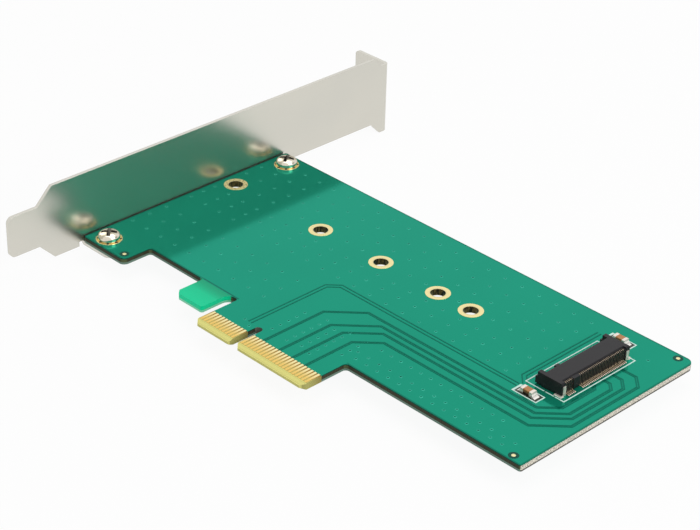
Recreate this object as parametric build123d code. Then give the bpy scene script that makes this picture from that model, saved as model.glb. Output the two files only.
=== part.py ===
from build123d import *
import os
from math import hypot

os.makedirs("parts", exist_ok=True)

# A plug-in adapter card: a low-profile board behind a full-height slot bracket.
# The pieces are laid out from the board's own corner: x = 0 is the bracket's inner face
# and runs along the board, y = 0 is the board's lower edge and runs away from the card
# edge, z = 0 is the component side. They are written about the card edge's key notch:
# its centre line, the tip of the edge, and the middle of the board's thickness.

# Board
bracket_gap = 0.35            # between the bracket's inner face and the board's end
board_length = 128.2
board_height = 55.4
board_thick = 1.57
board_corner = 2.0            # the two free corners far from the bracket
small_corner = 0.6
copper = 0.05                 # all copper, with its plating, that stands on the board

# Leg below the lower bracket screw
leg_width = 14.5
leg_drop = 8.0
leg_corner = 1.5
leg_root = 0.8

# Retention hook beside the card edge
hook_width = 8.8
hook_drop = 8.0
hook_chamfer = 1.1
hook_slot = 3.0               # between the hook and the card edge
hook_root = 2.0

# Card edge
key_from_bracket = 57.26      # centre line of the key notch
key_width = 1.9
key_depth = 8.6
key_round = 0.93              # corners at the notch's end, just under half its width
short_side = 11.2             # card edge before the key, on the bracket's side
long_side = 21.2
edge_drop = 12.6
edge_chamfer = 1.0
edge_root = 1.0
bevel_length = 1.3
bevel_depth = 0.47
contact_pitch = 1.0
contact_width = 0.7
contact_length = 4.15
contact_start = 0.05          # from the bevel to a contact's end
short_count = 11
long_count = 21

# Holes that hold a module's free end
module_line = 35.0            # height of the module's centre line
module_tip = 114.6            # where a seated module's contact end comes
module_lengths = (110, 80, 60, 42, 32)
module_hole_radius = 1.75
module_land_radius = 2.9

# Bracket screws and their lands
screw_from_bracket = 5.05
screw_inset = (3.7, 4.1)      # from the leg's end, and from the board's far edge
screw_hole_radius = 1.65
screw_land_radius = 3.45
screw_radius = 1.45
screw_length = 4.0
head_radius = 2.7
head_height = 1.9
head_rim = 1.1                # height of the head's straight side
head_crown = 1.7              # radius of its flat top, inside the slope
recess_span = 2.9
recess_width = 0.75
recess_depth = 1.1

# Slot bracket, folded from one sheet
sheet = 0.86
bracket_length = 120.02
bracket_width = 18.42
bracket_top = 91.66
flange_length = 11.43
bend_inside = 0.3
tongue_width = 10.19
tongue_length = 8.14
tongue_corner = 1.5
ear_reach = 3.17              # beyond the strip, on the solder side
ear_height = 2.73             # full-width part below the top
corner_cut = 2.51             # narrower on the component side, below the top
flange_slot_width = 4.42
flange_slot_depth = 6.5       # from the ear's edge to the slot's round end
flange_slot_reach = 6.35      # slot's centre line from the bracket's inner face
flange_corner = 1.0
tab_width = 7.2
tab_beyond = 4.35             # from the screw's centre to the tab's end
tab_corner = 2.0
tab_relief_width = 1.2
tab_relief_height = 1.2
screw_clearance = 0.05

# Module socket
socket_length = 21.9
socket_height = 3.15
socket_lift = 0.3             # of its underside, off the board
standoff_length = 2.0         # raised feet under the cheeks, level with the slot
cover_front = 1.7             # in front of the module's tip
socket_rear = 2.75            # behind the module's tip
cheek_width = 1.1
cheek_front = 3.6
cheek_rear = 3.6
cheek_step = 0.55             # the cheeks' upper part stands back from their lower part
cheek_step_height = 1.9
slot_low = 1.28
slot_height = 0.94
slot_stop = 0.15              # clearance behind the module's tip
lip_front = 3.3
lead_in = 0.25
socket_key_offset = 6.125     # key rib's centre from the module's centre line
socket_key_width = 1.1
socket_key_front = 2.3
pin_pitch = 0.5
pin_width = 0.2
pin_thick = 0.15
pin_room = 0.06               # channel wider than its contact
upper_first = 9.25            # first contact of the rear row from the centre line
lower_first = 9.0
upper_count = 38
lower_count = 37
key_skip = (29, 30, 31, 32)   # contact places that the key takes in both rows
key_block = 1.025             # half width of the solid part behind the key
comb_reach = 0.7              # ribs between the rear legs, behind the body
cover_web = 0.4               # rear channels start this far behind the cover's front
stop_web = 0.35               # front channels end this far before the slot's stop
beam_rise = 0.45              # rear beams above the slot
# Each row's sprung tip: x behind the cover's front or before the slot's stop, and z
# against the other end of its beam.
rear_spring = (0.9, -0.45)
front_spring = (0.9, 0.51)
rear_leg = 0.35               # centre of the leg before the cheeks' rear
rear_foot = 0.85              # from the leg to the foot's end
front_foot = 1.1              # foot's end before the lip
front_leg = 0.2               # centre of the leg before the lip
peg_radius = (0.8, 0.55)
peg_offset = 9.6
peg_behind_front = 1.6
peg_length = 1.2
peg_room = 0.05
trace_reach = 0.9             # conductors end this far behind the cheeks
hold_thick = 0.2
hold_inset = 0.35             # blade inside the socket's end
hold_width = 0.85
hold_foot = 1.8
hold_spread = 0.35            # foot outside the socket's end, and as far beneath it
hold_height = 2.3
hold_pad_margin = 0.15

# Two chip capacitors, one at each end of the socket
chip_length = 3.2
chip_width = 1.6
chip_height = 1.2
chip_cap = 0.75               # length of each metal end
chip_skin = 0.06              # ends stand this much proud of the body
chip_corner = 0.1
chip_from_tip = 1.85          # centre, before the module's tip
chip_beyond = (4.05, 3.85)    # centres beyond the socket's near and far ends
chip_pad_reach = 1.25         # pads beyond the ends
chip_pad_width = 2.2
joint_reach = 0.9
joint_height = 0.8
joint_sag = 0.35              # middle of the solder's hollow, as a share of its sides

# Printed conductors: the dark lines on the component side
trace_width = 0.3
lane_space = 0.15             # between the two conductors of a lane
clock_space = 0.65
# Each lane runs between two edge contacts and two socket contacts. Its row gives the
# place of the first edge contact after the key, y of the long run, x of the rise behind
# the socket, the place of the first rear contact, and the 45 degree cuts of three corners.
lanes = (
    (2, 17.55, 120.9, 23, 6.95, 3.7, 1.0),
    (7, 15.75, 123.3, 17, 7.75, 5.0, 1.6),
    (11, 13.95, 124.8, 11, 6.15, 5.85, 2.4),
    (15, 11.5, 126.5, 5, 4.9, 6.2, 2.7),
)
clock_before_key = 3.48
clock_y = 20.98
clock_low = -4.2
clock_cut = 2.4
clock_stop = 3.75             # before the middle of the near capacitor
side_before_cheek = 3.45
side_beyond = (1.65, 3.05)    # ends beyond the socket's near and far ends
side_cut = 2.2

# Places worked out from the sizes above
board_left = bracket_gap
board_right = board_left + board_length
leg_right = board_left + leg_width
edge_left = key_from_bracket - key_width / 2 - short_side
key_left = key_from_bracket - key_width / 2
key_right = key_from_bracket + key_width / 2
edge_right = key_right + long_side
hook_right = edge_left - hook_slot
hook_left = hook_right - hook_width
contact_tip = -edge_drop + bevel_length + contact_start
contact_top = contact_tip + contact_length
screw_low = -leg_drop + screw_inset[0]
screw_high = board_height - screw_inset[1]
screw_points = [(screw_from_bracket, screw_low), (screw_from_bracket, screw_high)]
tab_reach = screw_from_bracket + tab_beyond
strip_low = -board_thick - sheet
strip_high = strip_low + bracket_width
bracket_tip = bracket_top - bracket_length
taper = (bracket_width - tongue_width) / 2
cover_x = module_tip - cover_front
rear_x = module_tip + socket_rear
stop_x = module_tip + slot_stop
slot_high = slot_low + slot_height
socket_near = module_line - socket_length / 2
socket_far = module_line + socket_length / 2
socket_key = module_line - socket_key_offset
cheek_x = module_tip - cheek_front
cheek_back = module_tip + cheek_rear
lip_x = module_tip - lip_front
chip_x = module_tip - chip_from_tip
chip_low = socket_near - chip_beyond[0]
chip_high = socket_far + chip_beyond[1]
upper_z = slot_high + beam_rise
lower_z = (socket_lift + slot_low) / 2
clock_x = key_from_bracket - clock_before_key
side_x = cheek_x - side_before_cheek
datum = Location((-key_from_bracket, edge_drop, board_thick / 2))


def write(name, piece):
    """Writes one piece, moved to the card edge's datum."""
    export_step(datum * piece, f"parts/{name}.step")


def outline(corners):
    """A face from corners (x, y, radius); a negative radius is a straight chamfer."""
    face = make_face(Polyline(*[(x, y) for x, y, _ in corners], close=True))
    for x, y, radius in corners:
        if radius:
            corner = face.vertices().sort_by_distance(Vector(x, y, 0))[0]
            face = fillet(corner, radius) if radius > 0 else chamfer(corner, -radius)
    return face


def shift(points, distance):
    """An open run of points moved sideways by one distance, mitred at its bends."""
    steps = [(b[0] - a[0], b[1] - a[1]) for a, b in zip(points, points[1:])]
    normals = [(-dy / hypot(dx, dy), dx / hypot(dx, dy)) for dx, dy in steps]
    before = [normals[0]] + normals
    after = normals + [normals[-1]]
    moved = []
    for (x, y), (ax, ay), (bx, by) in zip(points, before, after):
        reach = distance / (1 + ax * bx + ay * by)
        moved.append((x + (ax + bx) * reach, y + (ay + by) * reach))
    return moved


def band(points, width):
    """A face of one width along an open run of points."""
    line = shift(points, width / 2) + shift(points, -width / 2)[::-1]
    return make_face(Polyline(*line, close=True))


def slab(face, low, high):
    """A plan face made solid between two heights."""
    return Pos(0, 0, low) * extrude(face, high - low)


def block(x0, x1, y0, y1, z0, z1):
    """A block between its lowest and highest corners."""
    return Pos((x0 + x1) / 2, (y0 + y1) / 2, (z0 + z1) / 2) * Box(x1 - x0, y1 - y0, z1 - z0)


def side_plate(face, y0, y1):
    """A face drawn in x and z, made solid between two y places."""
    return Pos(0, y1, 0) * extrude(Plane.XZ * face, y1 - y0)


def rod(radius, z0, z1):
    """A round rod on the z axis between two heights."""
    return Pos(0, 0, (z0 + z1) / 2) * Cylinder(radius, z1 - z0)


def at(places, piece):
    """Copies of one piece at several plan places."""
    return Compound([Pos(x, y, 0) * piece for x, y in places])


def make_board():
    """The laminate board with its leg, hook, keyed and bevelled card edge and holes."""
    notch_end = -edge_drop + key_depth
    board = slab(outline([
        (board_left, -leg_drop, small_corner),
        (leg_right, -leg_drop, leg_corner),
        (leg_right, 0, leg_root),
        (hook_left, 0, small_corner),
        (hook_left, -hook_drop, -hook_chamfer),
        (hook_right, -hook_drop, small_corner),
        (hook_right, 0, hook_root),
        (edge_left, 0, small_corner),
        (edge_left, -edge_drop, -edge_chamfer),
        (key_left, -edge_drop, small_corner),
        (key_left, notch_end, key_round),
        (key_right, notch_end, key_round),
        (key_right, -edge_drop, -edge_chamfer),
        (edge_right, -edge_drop, -edge_chamfer),
        (edge_right, 0, edge_root),
        (board_right, 0, small_corner),
        (board_right, board_height, board_corner),
        (board_left, board_height, small_corner),
    ]), -board_thick, 0)
    tip = -edge_drop
    for z, way in ((0, -1), (-board_thick, 1)):
        wedge = Polyline((tip, z), (tip + bevel_length, z), (tip, z + way * bevel_depth), close=True)
        wedge = extrude(Plane.YZ * make_face(wedge), edge_right - edge_left)
        board -= Pos(edge_left, 0, 0) * wedge
    for x, y in module_holes():
        board -= Pos(x, y, 0) * rod(module_hole_radius, -board_thick, 0)
    for x, y in screw_points:
        board -= Pos(x, y, 0) * rod(screw_hole_radius, -board_thick, 0)
    for x, y, radius in peg_points():
        board -= Pos(x, y, 0) * rod(radius + peg_room, -board_thick, 0)
    return board


def module_holes():
    """The plan places of the holes for a module's free end, nearest the bracket first."""
    return [(module_tip - length, module_line) for length in module_lengths]


def peg_points():
    """The plan places and radii of the socket's two locating pegs."""
    x = cheek_x + peg_behind_front
    return [(x, module_line - peg_offset, peg_radius[0]), (x, module_line + peg_offset, peg_radius[1])]


def land(radius, outer, low):
    """The copper ring round a hole, on one face of the board."""
    return rod(outer, low, low + copper) - rod(radius, low, low + copper)


def edge_contacts(low, high):
    """The row of contacts on one face of the card edge."""
    pad = block(-contact_width / 2, contact_width / 2, contact_tip, contact_top, low, high)
    places = edge_places(edge_left, short_side, short_count)
    places += edge_places(key_right, long_side, long_count)
    return at([(x, 0) for x in places], pad)


def edge_places(start, side, count):
    """The x places of the contacts centred on one side of the key."""
    first = start + (side - (count - 1) * contact_pitch) / 2
    return [first + i * contact_pitch for i in range(count)]


def make_bracket():
    """The folded slot bracket: strip, tapered tongue, top flange and two screw tabs."""
    neck = bracket_top - ear_height
    strip = outline([
        (bracket_tip, strip_low + taper, tongue_corner),
        (bracket_tip + tongue_length, strip_low + taper, 0),
        (bracket_tip + tongue_length + taper, strip_low, 0),
        (neck - ear_reach, strip_low, 0),
        (neck, strip_low - ear_reach, 0),
        (bracket_top, strip_low - ear_reach, 0),
        (bracket_top, strip_high - corner_cut, 0),
        (neck, strip_high - corner_cut, 0),
        (neck - corner_cut, strip_high, 0),
        (bracket_tip + tongue_length + taper, strip_high, 0),
        (bracket_tip + tongue_length, strip_high - taper, 0),
        (bracket_tip, strip_high - taper, tongue_corner),
    ])
    strip = Pos(-flange_length, 0, 0) * extrude(Plane.YZ * strip, flange_length)
    fold = outline([
        (-sheet, bracket_tip, 0),
        (0, bracket_tip, 0),
        (0, bracket_top, bend_inside + sheet),
        (-flange_length, bracket_top, 0),
        (-flange_length, bracket_top - sheet, 0),
        (-sheet, bracket_top - sheet, bend_inside),
    ])
    body = strip & slab(fold, strip_low - ear_reach, strip_high)
    far_edges = body.edges().filter_by(Axis.Y).sort_by(Axis.X)[:2]
    body = fillet(far_edges, flange_corner)
    radius = flange_slot_width / 2
    end = strip_low - ear_reach + flange_slot_depth - radius
    slot = Rectangle(flange_slot_width, flange_slot_depth * 2)
    slot = Pos(0, end - flange_slot_depth) * slot + Pos(0, end) * Circle(radius)
    slot = Pos(-flange_slot_reach, 0) * slot
    body -= side_plate(slot, bracket_top - sheet, bracket_top)
    for x, y in screw_points:
        body = add_tab(body, x, y)
    return body


def add_tab(body, x, y):
    """Folds one screw tab out of the strip's lower edge, with a relief cut at each side."""
    half = tab_width / 2
    relief = block(-sheet, 0, y - half - tab_relief_width, y + half + tab_relief_width,
                   strip_low, strip_low + tab_relief_height)
    fold = outline([
        (-sheet, strip_low, bend_inside + sheet),
        (tab_reach, strip_low, 0),
        (tab_reach, -board_thick, 0),
        (0, -board_thick, bend_inside),
        (0, strip_low + tab_relief_height, 0),
        (-sheet, strip_low + tab_relief_height, 0),
    ])
    tab = side_plate(fold, y - half, y + half)
    ends = tab.edges().filter_by(Axis.Z).sort_by(Axis.X)[-2:]
    tab = fillet(ends, tab_corner)
    hole = Pos(x, y, 0) * rod(screw_radius + screw_clearance, strip_low, -board_thick)
    return body - relief + tab - hole


def make_screw():
    """A pan-head screw with a cross recess; it stands on the upper land."""
    tip = copper - screw_length
    top = copper + head_height
    profile = Polyline(
        (0, top), (0, tip), (screw_radius, tip), (screw_radius, copper), (head_radius, copper),
        (head_radius, copper + head_rim), (head_crown, top), close=True)
    screw = revolve(Plane.XZ * make_face(profile), Axis.Z)
    cross = Rectangle(recess_span, recess_width) + Rectangle(recess_width, recess_span)
    return screw - slab(cross, top - recess_depth, top)


def make_socket():
    """The moulded socket body: cover, lip, slot with its key, cheeks, pegs and channels."""
    inner_near = socket_near + cheek_width
    inner_far = socket_far - cheek_width
    section = outline([
        (lip_x, socket_lift, 0),
        (rear_x, socket_lift, 0),
        (rear_x, socket_height, -lead_in),
        (cover_x, socket_height, 0),
        (cover_x, slot_high, -lead_in),
        (stop_x, slot_high, 0),
        (stop_x, slot_low, 0),
        (lip_x, slot_low, -lead_in),
    ])
    body = side_plate(section, inner_near, inner_far)
    cheek = outline([
        (cheek_x, socket_lift, 0),
        (cheek_back, socket_lift, 0),
        (cheek_back, socket_height, -lead_in),
        (cheek_x + cheek_step, socket_height, 0),
        (cheek_x + cheek_step, cheek_step_height, 0),
        (cheek_x, cheek_step_height, 0),
    ])
    for y in (socket_near, inner_far):
        body += side_plate(cheek, y, y + cheek_width)
        body += block(cover_x, cover_x + standoff_length, y, y + cheek_width, 0, socket_lift)
    half = socket_key_width / 2
    body += block(module_tip - socket_key_front, stop_x, socket_key - half, socket_key + half,
                  slot_low, slot_high)
    body += block(module_tip - socket_key_front, cover_x + lead_in, socket_key - half, socket_key + half,
                  slot_low, socket_height)
    body += block(rear_x, cheek_back, socket_key - key_block, socket_key + key_block,
                  socket_lift, socket_height - lead_in)
    for x, y, radius in peg_points():
        body += Pos(x, y, 0) * rod(radius, -peg_length, socket_lift)
    comb_back = rear_x + comb_reach
    channel_top = upper_z + pin_thick
    body += block(rear_x, comb_back, inner_near, inner_far, socket_lift, channel_top)
    side = (pin_width + pin_room) / 2
    upper = block(cover_x + cover_web, comb_back, -side, side, slot_high, channel_top)
    upper += block(rear_x, comb_back, -side, side, socket_lift, channel_top)
    lower = block(lip_x, stop_x - stop_web, -side, side, lower_z - pin_thick, slot_low)
    for places, cutter in ((upper_places(), upper), (lower_places(), lower)):
        body -= [Pos(0, y, 0) * cutter for y in places]
    return body


def contact_row(first, count):
    """The y places of one row's contacts, without those that the key takes."""
    return [module_line + first - i * pin_pitch for i in range(count) if i not in key_skip]


def upper_places():
    """The y places of the rear row's contacts."""
    return contact_row(upper_first, upper_count)


def lower_places():
    """The y places of the front row's contacts."""
    return contact_row(lower_first, lower_count)


def upper_pin():
    """One rear contact: a sprung beam under the cover, then down behind it to its foot."""
    foot = pin_thick / 2
    leg = cheek_back - rear_leg
    tip = (cover_x + rear_spring[0], upper_z + rear_spring[1])
    line = [tip, (leg, upper_z), (leg, foot), (leg + rear_foot, foot)]
    return side_plate(band(line, pin_thick), -pin_width / 2, pin_width / 2)


def lower_pin():
    """One front contact: a foot before the lip, then a sprung beam inside it."""
    foot = pin_thick / 2
    leg = lip_x - front_leg
    tip = (stop_x - front_spring[0], lower_z + front_spring[1])
    line = [(lip_x - front_foot, foot), (leg, foot), (leg, lower_z), tip]
    return side_plate(band(line, pin_thick), -pin_width / 2, pin_width / 2)


def hold_down(way):
    """The metal tab at one end of the socket: a blade behind the cheek and a foot beside it."""
    back = cheek_back + hold_thick
    foot_top = copper + hold_thick
    blade_end = -hold_inset - hold_width
    tab = block(cheek_back, back, blade_end, -hold_inset, copper, hold_height)
    tab += block(cheek_back, back, blade_end, hold_spread, copper, foot_top)
    tab += block(back - hold_foot, back, -hold_spread, hold_spread, copper, foot_top)
    return at_end(way, tab)


def hold_pad(way):
    """The solder pad under one metal tab's foot."""
    back = cheek_back + hold_thick + hold_pad_margin
    half = hold_spread + hold_pad_margin
    return at_end(way, block(back - hold_foot - 2 * hold_pad_margin, back, -half, half, 0, copper))


def at_end(way, piece):
    """A piece drawn at y = 0 for the socket's far end, placed at that end or mirrored."""
    if way < 0:
        piece = mirror(piece, about=Plane.XZ)
    return Pos(0, module_line + way * socket_length / 2, 0) * piece


def chip_body(y):
    """The ceramic block of one capacitor, between its metal ends."""
    body = block(-chip_length / 2 + chip_skin, chip_length / 2 - chip_skin,
                 -chip_width / 2 + chip_skin, chip_width / 2 - chip_skin,
                 copper + chip_skin, copper + chip_height - chip_skin)
    return Pos(chip_x, y, 0) * body


def chip_end(y, way):
    """One metal end of a capacitor: a cap over the end of its body."""
    end = block(0, chip_cap, -chip_width / 2, chip_width / 2, copper, copper + chip_height)
    end = Pos(chip_length / 2 - chip_cap, 0, 0) * chamfer(end.edges().filter_by(Axis.X), chip_corner)
    if way < 0:
        end = Rot(0, 0, 180) * end
    return Pos(chip_x, y, 0) * end - chip_body(y)


def chip_joint(y, way):
    """The solder fillet and pad at one end of a capacitor."""
    start = chip_length / 2
    end = start + joint_reach
    side = Polyline((start, copper + joint_height), (start, copper), (end, copper))
    middle = (start + joint_reach * joint_sag, copper + joint_height * joint_sag)
    curve = ThreePointArc((end, copper), middle, (start, copper + joint_height))
    face = make_face(side.edges() + curve.edges())
    joint = side_plate(face, -chip_width / 2, chip_width / 2)
    joint += block(start - chip_cap, start + chip_pad_reach, -chip_pad_width / 2, chip_pad_width / 2,
                   0, copper)
    if way < 0:
        joint = Rot(0, 0, 180) * joint
    return Pos(chip_x, y, 0) * joint


def conductors(line, space):
    """Two printed conductors side by side along one line."""
    aside = (space + trace_width) / 2
    pair = [band(shift(line, way * aside), trace_width) for way in (-1, 1)]
    return Compound([slab(face, 0, copper) for face in pair])


def lane_line(edge_contact, y, far_x, socket_contact, first, second, third):
    """One lane's route from the card edge, along the board and up to the socket."""
    x = edge_places(key_right, long_side, long_count)[edge_contact] + contact_pitch / 2
    exit_y = module_line + upper_first - (socket_contact + 0.5) * pin_pitch
    return [
        (x, contact_top), (x, y - first), (x + first, y), (far_x - second, y), (far_x, y + second),
        (far_x, exit_y - third), (far_x - third, exit_y), (cheek_back + trace_reach, exit_y),
    ]


write("board", make_board())
write("bracket", make_bracket())
write("bracket_screws", at(screw_points, make_screw()))
for length, (x, y) in zip(module_lengths, module_holes()):
    rings = [land(module_hole_radius, module_land_radius, low) for low in (0, -board_thick - copper)]
    write(f"module_hole_{length}", Pos(x, y, 0) * Compound(rings))
for name, (x, y) in zip(("lower", "upper"), screw_points):
    write(f"screw_land_{name}", Pos(x, y, 0) * land(screw_hole_radius, screw_land_radius, 0))
write("edge_contacts_component_side", edge_contacts(0, copper))
write("edge_contacts_solder_side", edge_contacts(-board_thick - copper, -board_thick))

write("socket_housing", make_socket())
write("socket_rear_contacts", at([(0, y) for y in upper_places()], upper_pin()))
write("socket_front_contacts", at([(0, y) for y in lower_places()], lower_pin()))
for name, way in (("near", -1), ("far", 1)):
    write(f"hold_down_{name}", hold_down(way))
    write(f"hold_down_pad_{name}", hold_pad(way))

for name, y in (("near", chip_low), ("far", chip_high)):
    write(f"capacitor_{name}_body", chip_body(y))
    for side, way in (("left", -1), ("right", 1)):
        write(f"capacitor_{name}_{side}_end", chip_end(y, way))
        write(f"capacitor_{name}_{side}_joint", chip_joint(y, way))

for number, lane in enumerate(lanes, 1):
    write(f"lane_{number}_conductors", conductors(lane_line(*lane), lane_space))
clock = [(clock_x, clock_low), (clock_x, clock_y - clock_cut), (clock_x + clock_cut, clock_y),
         (chip_x - clock_stop, clock_y)]
write("clock_conductors", conductors(clock, clock_space))
side = [(side_x + side_cut, socket_near - side_beyond[0]),
        (side_x, socket_near - side_beyond[0] + side_cut), (side_x, socket_far + side_beyond[1])]
write("sideband_conductors", conductors(side, clock_space))
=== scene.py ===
"""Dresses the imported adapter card: finishes for its solids, and the printing, vias, screws,
solder and sprung contacts that are too fine for them. Lengths are millimetres in the
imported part's frame, and metres only where Blender takes them."""

from math import cos, hypot, pi, radians, sin

import bmesh
import bpy
from bpy.props import FloatProperty, FloatVectorProperty, PointerProperty
from mathutils import Matrix, Vector


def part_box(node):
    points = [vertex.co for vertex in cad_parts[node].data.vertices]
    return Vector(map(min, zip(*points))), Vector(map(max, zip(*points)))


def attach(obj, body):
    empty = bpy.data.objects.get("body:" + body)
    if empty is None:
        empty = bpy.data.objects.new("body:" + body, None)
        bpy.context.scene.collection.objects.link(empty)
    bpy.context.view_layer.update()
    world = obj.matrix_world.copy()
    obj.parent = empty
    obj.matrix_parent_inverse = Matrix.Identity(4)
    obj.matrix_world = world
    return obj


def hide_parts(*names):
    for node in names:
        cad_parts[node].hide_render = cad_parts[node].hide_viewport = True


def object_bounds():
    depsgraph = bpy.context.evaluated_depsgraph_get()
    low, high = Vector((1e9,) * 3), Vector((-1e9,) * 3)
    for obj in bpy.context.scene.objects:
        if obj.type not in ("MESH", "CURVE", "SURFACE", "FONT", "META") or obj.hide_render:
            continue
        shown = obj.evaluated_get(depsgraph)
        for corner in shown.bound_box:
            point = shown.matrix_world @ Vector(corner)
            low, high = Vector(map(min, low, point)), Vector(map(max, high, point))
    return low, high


bl_info = {
    "name": "Adapter Card",
    "version": (1, 0, 0),
    "blender": (4, 5, 0),
    "location": "View3D > Sidebar > Adapter Card",
    "description": "Builds the finishes and fine pieces of a plug-in adapter card",
    "category": "Object",
}

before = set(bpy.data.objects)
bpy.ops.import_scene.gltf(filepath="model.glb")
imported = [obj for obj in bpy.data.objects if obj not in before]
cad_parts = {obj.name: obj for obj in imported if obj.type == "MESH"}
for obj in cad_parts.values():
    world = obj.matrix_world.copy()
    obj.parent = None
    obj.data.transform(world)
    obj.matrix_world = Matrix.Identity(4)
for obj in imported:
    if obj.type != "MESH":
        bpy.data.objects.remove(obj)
cad_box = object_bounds()
MM = 0.001
ROOT = "root"
ALMOST_NONE = 0.001                   # radius at which a turned face closes on its axis


class Span:
    """A node's box in millimetres, with its middle."""

    def __init__(self, node):
        low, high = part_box(node)
        self.low, self.high = Vector(low) / MM, Vector(high) / MM
        self.middle = (self.low + self.high) / 2
        self.size = self.high - self.low


board = Span("board")
housing = Span("socket_housing")
screws = Span("bracket_screws")
edge_row = Span("edge_contacts_component_side")
rear_row = Span("socket_rear_contacts")
front_row = Span("socket_front_contacts")
screw_lands = [Span("screw_land_lower"), Span("screw_land_upper")]
module_holes = [Span(f"module_hole_{size}") for size in (110, 80, 60, 42, 32)]
capacitors = [Span("capacitor_near_body"), Span("capacitor_far_body")]
TOP = board.high.z                    # the board's component side
BOTTOM = board.low.z
LAND_TOP = screw_lands[0].high.z

# The board's own outline, as its source draws it
LONG_EDGE = 12.6                      # y of the edge that the card edge and the hook leave
HOOK = (-23.95, -15.15)               # x of the hook's sides
HOOK_SLOT = 3.0                       # width of the slot beside the hook
HOOK_END = 4.6                        # y of the hook's and the leg's free ends
KEY = (-0.95, 0.95)                   # x of the key notch's sides
LEG_RIGHT = board.low.x + 14.5        # x of the leg's side away from the bracket
BEVEL = 1.3                           # y where the card edge's bevel ends
MODULE_HOLE_RADIUS = 1.75
SCREW_HOLE_RADIUS = 1.65
WALL_ROOM = 0.04                      # how far from a hole's radius its wall is looked for
SCREW_LAND_BARE = 3.08                # radius past which lacquer covers a screw land
COPPER_INSET = (0.5, 0.25)            # in from the board's edge, where the copper fades out


def colour(name, default, text):
    """A colour property, in Blender's own linear values."""
    return FloatVectorProperty(
        name=name, description=text, default=default, size=3, min=0, max=1, subtype="COLOR")


def length(name, default, text):
    """A length property in metres, given here in millimetres."""
    return FloatProperty(
        name=name, description=text, default=default * MM, min=0, precision=5, unit="LENGTH")


def factor(name, default, text):
    """A property between 0 and 1."""
    return FloatProperty(
        name=name, description=text, default=default, min=0, max=1, subtype="FACTOR")


def power(name, default, text):
    """A lamp's power in watts."""
    return FloatProperty(name=name, description=text, default=default, min=0, unit="POWER")


class BoardLook(bpy.types.PropertyGroup):
    """Colours and sizes of the board's finish."""

    mask: colour("Solder mask", (0.009, 0.315, 0.195), "Green lacquer over copper")
    clear: colour("Clear mask", (0.002, 0.65, 0.315), "Green lacquer where no copper lies under it")
    trace: colour("Conductor", (0.002, 0.150, 0.095), "Green lacquer over a printed conductor")
    # Partly painted shade: the routed walls' dark is the shaded copy of the laminate that the far
    # end shows lit
    laminate: colour("Routed laminate", (0.050, 0.044, 0.023), "Glass-epoxy at the routed walls")
    # Painted light: the olive that lightens the routed walls where they turn round a corner
    corner: colour("Routed corner", (0.11, 0.14, 0.06), "Glass-epoxy at the rounded corners")
    # Painted highlight: the pale line along a wall's lower edge
    lower_edge_highlight: colour("Lower lip", (0.18, 0.27, 0.215), "Lacquer drawn over a wall's lower edge")
    # Painted light: the far end's laminate is painted pale as the lit copy of the routed walls'
    # laminate; the key notch takes it too
    lit_laminate: colour("Scored laminate", (0.72, 0.66, 0.56), "Glass-epoxy at the broken-off end")
    bare_rim: colour("Board rim", (0.003, 0.155, 0.095), "Green lacquer at the rim, past the copper")
    tongue: colour("Bevel", (0.72, 0.68, 0.22), "Bare laminate at the card edge's tip")
    tongue_root: colour("Between contacts", (0.42, 0.19, 0.035), "Bare laminate beside the lacquer")
    ink: colour("Printing ink", (0.74, 1.0, 0.91), "Pale lines printed round the parts")
    ink_width: length("Ink width", 0.27, "Width of a printed line")
    via_pitch: length("Via pitch", 5.085, "Spacing of the ground vias along the board")
    via_radius: length("Via radius", 0.42, "Outer radius of a covered via")
    # Painted highlight: the pale green on a via's raised rim
    via_rim_highlight: colour("Via rim", (0.045, 0.41, 0.29), "Thin lacquer on the raised rim of a via")
    gloss: factor("Gloss roughness", 0.11, "Roughness of the lacquer")
    mirror: factor("Copper sheen", 0.46, "How much the copper under the lacquer mirrors")


class MetalLook(bpy.types.PropertyGroup):
    """Colours and blur of the metal pieces."""

    gold: colour("Gold", (0.90, 0.67, 0.20), "Immersion gold on the lands")
    contact: colour("Hard gold", (0.86, 0.58, 0.15), "Plating of the edge contacts")
    bracket: colour("Bracket", (0.68, 0.655, 0.58), "Plated steel sheet")
    bracket_roughness: factor("Bracket roughness", 0.25, "Blur of what the bracket mirrors")
    screw: colour("Screws", (0.74, 0.68, 0.56), "Plated screws")
    tin: colour("Tin", (0.90, 0.82, 0.74), "Tinned hold-downs and capacitor ends")
    spring: colour("Contacts", (0.95, 0.76, 0.52), "Plated contacts of the module socket")
    foot: colour("Foot solder", (0.85, 0.72, 0.60), "Solder at the contacts' feet")
    solder: colour("Solder", (0.95, 0.92, 0.86), "Reflowed solder")


class SocketLook(bpy.types.PropertyGroup):
    """Colours of the module socket and the capacitors beside it."""

    resin: colour("Resin", (0.013, 0.012, 0.014), "Moulded body of the socket")
    ceramic: colour("Ceramic", (0.50, 0.20, 0.055), "Bodies of the chip capacitors")


class StageLook(bpy.types.PropertyGroup):
    """Light and floor."""

    floor: colour("Floor", (0.93, 0.93, 0.93), "Plain pale floor")
    floor_glow: factor("Floor white", 0.93, "How far the floor seen by the camera is plain white")
    key_lamp: power("Key lamp", 5.2, "Power of the large soft lamp at the card's far end")
    top_lamp: power("Top lamp", 3.2, "Power of the soft lamp above")
    flag: colour("Flag", (0.2, 0.2, 0.2), "Grey card that stands beside the key lamp")
    world: factor("World light", 0.45, "Strength of the light from all round")


# Shader building


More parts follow.
